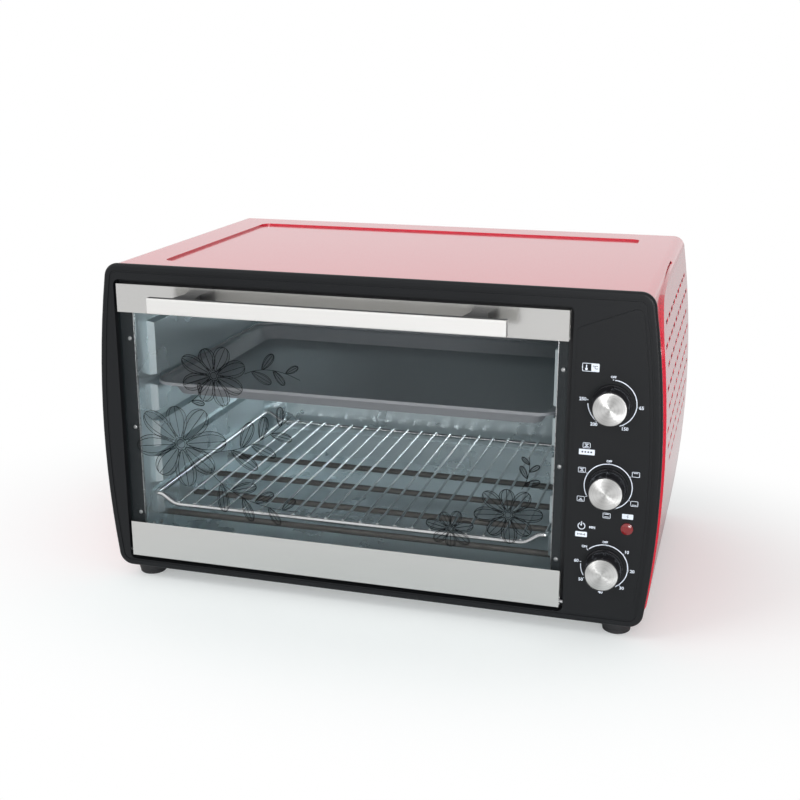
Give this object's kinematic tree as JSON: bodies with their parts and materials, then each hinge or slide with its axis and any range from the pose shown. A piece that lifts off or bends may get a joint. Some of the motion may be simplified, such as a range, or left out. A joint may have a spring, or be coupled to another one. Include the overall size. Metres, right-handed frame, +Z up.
{
  "type": "countertop electric oven",
  "caption": "Barrel-sided countertop oven with a drop-down glass door and handle, rotary dials, wire rack, baking tray, tubular heaters and a side fan.",
  "frame": {"origin": "on the floor, in the middle of the oven's overall width and depth", "axes": "+X to the oven's right as seen by someone facing the door, +Y from the door to the back, +Z up"},
  "size_m": [0.548, 0.38, 0.325],
  "materials": {
    "cover_paint": "glossy red enamel paint on sheet steel",
    "panel_plastic": "satin near-black moulding",
    "frame_enamel": "black heat-resistant paint",
    "cavity_sheet": "galvanised sheet, slightly blue-grey",
    "galvanised_sheet": "plain galvanised sheet",
    "heater_tube": "darkened steel sheath",
    "ceramic_white": "unglazed steatite",
    "switch_metal": "plated steel case",
    "switch_plastic": "dark phenolic",
    "copper_tube": "drawn copper",
    "bell_metal": "pressed brass",
    "lamp_lens": "clear red lens",
    "motor_steel": "stacked steel plates",
    "foot_rubber": "moulded black rubber",
    "back_paint": "matt black paint",
    "gland_plastic": "black nylon",
    "door_glass": "tempered clear glass",
    "trim_steel": "steel brushed along its length",
    "seal_silicone": "dark silicone",
    "bracket_plastic": "dark grey moulding",
    "pin_steel": "zinc-plated steel",
    "rack_chrome": "chromed wire",
    "tray_enamel": "dark grey enamel",
    "fan_aluminium": "pressed aluminium",
    "knob_plastic": "black moulding",
    "knob_disc": "spun aluminium disc"
  },
  "bodies": {
    "casing": {"outer_cover": "cover_paint", "front_panel": "panel_plastic", "front_frame": "frame_enamel", "control_bracket": "galvanised_sheet", "hinge_lugs": "galvanised_sheet", "cavity_left_wall": "cavity_sheet", "cavity_right_wall": "cavity_sheet", "cavity_top": "cavity_sheet", "cavity_floor": "cavity_sheet", "cavity_rear_wall": "cavity_sheet", "lower_heaters": "heater_tube", "upper_heater": "heater_tube", "heater_caps": "ceramic_white", "heater_clips": "galvanised_sheet", "heat_shield": "galvanised_sheet", "thermostat": "switch_metal", "thermostat_probe": "copper_tube", "probe_clips": "galvanised_sheet", "function_switch": "switch_plastic", "timer_body": "switch_metal", "timer_bell": "bell_metal", "indicator_lens": "lamp_lens", "indicator_holder": "switch_plastic", "fan_shroud": "galvanised_sheet", "fan_motor": "motor_steel", "base_plate": "galvanised_sheet", "feet": "foot_rubber", "back_panel": "back_paint", "cord_gland": "gland_plastic", "terminal_block": "ceramic_white"},
    "door": {"door_glass": "door_glass", "door_top_trim": "trim_steel", "door_bottom_trim": "trim_steel", "door_seal_strips": "seal_silicone", "handle_bar": "trim_steel", "handle_brackets": "bracket_plastic", "door_hinge_pins": "pin_steel", "door_stays": "pin_steel"},
    "temperature_knob": {"temperature_knob_skirt": "knob_plastic", "temperature_knob_cap": "knob_disc", "temperature_knob_shaft": "pin_steel"},
    "function_knob": {"function_knob_skirt": "knob_plastic", "function_knob_cap": "knob_disc", "function_knob_shaft": "pin_steel"},
    "timer_knob": {"timer_knob_skirt": "knob_plastic", "timer_knob_cap": "knob_disc", "timer_knob_shaft": "pin_steel"},
    "rack": {"wire_rack": "rack_chrome"},
    "tray": {"baking_tray": "tray_enamel"},
    "fan": {"fan_blade": "fan_aluminium", "fan_shaft": "pin_steel"}
  },
  "joints": [
    {"name": "door_hinge", "type": "hinge", "parent": "casing", "child": "door", "pos_m": [0, -0.1515, 0.0298], "axis": [1, 0, 0], "range_deg": [0, 85], "stiffness_Nm_per_rad": 0.3, "springref_deg": -57.3},
    {"name": "temperature_turn", "type": "hinge", "parent": "casing", "child": "temperature_knob", "pos_m": [0.2275, -0.17, 0.2257], "axis": [0, 1, 0], "range_deg": [0, 275]},
    {"name": "function_turn", "type": "hinge", "parent": "casing", "child": "function_knob", "pos_m": [0.2275, -0.17, 0.1487], "axis": [0, 1, 0], "range_deg": [0, 300]},
    {"name": "timer_turn", "type": "hinge", "parent": "casing", "child": "timer_knob", "pos_m": [0.2275, -0.17, 0.0717], "axis": [0, 1, 0], "range_deg": [-46, 277]},
    {"name": "rack_slide", "type": "slide", "parent": "casing", "child": "rack", "axis": [0, -1, 0], "range_m": [0, 0.075]},
    {"name": "tray_slide", "type": "slide", "parent": "casing", "child": "tray", "axis": [0, -1, 0], "range_m": [0, 0.238]},
    {"name": "fan_spin", "type": "hinge", "parent": "casing", "child": "fan", "pos_m": [0.19, 0.018, 0.176], "axis": [1, 0, 0], "continuous": true}
  ],
  "couplings": [
    {"joint": "rack_slide", "follows": "door_hinge", "m_per_rad": 0.05},
    {"joint": "tray_slide", "follows": "door_hinge", "m_per_rad": 0.16}
  ]
}
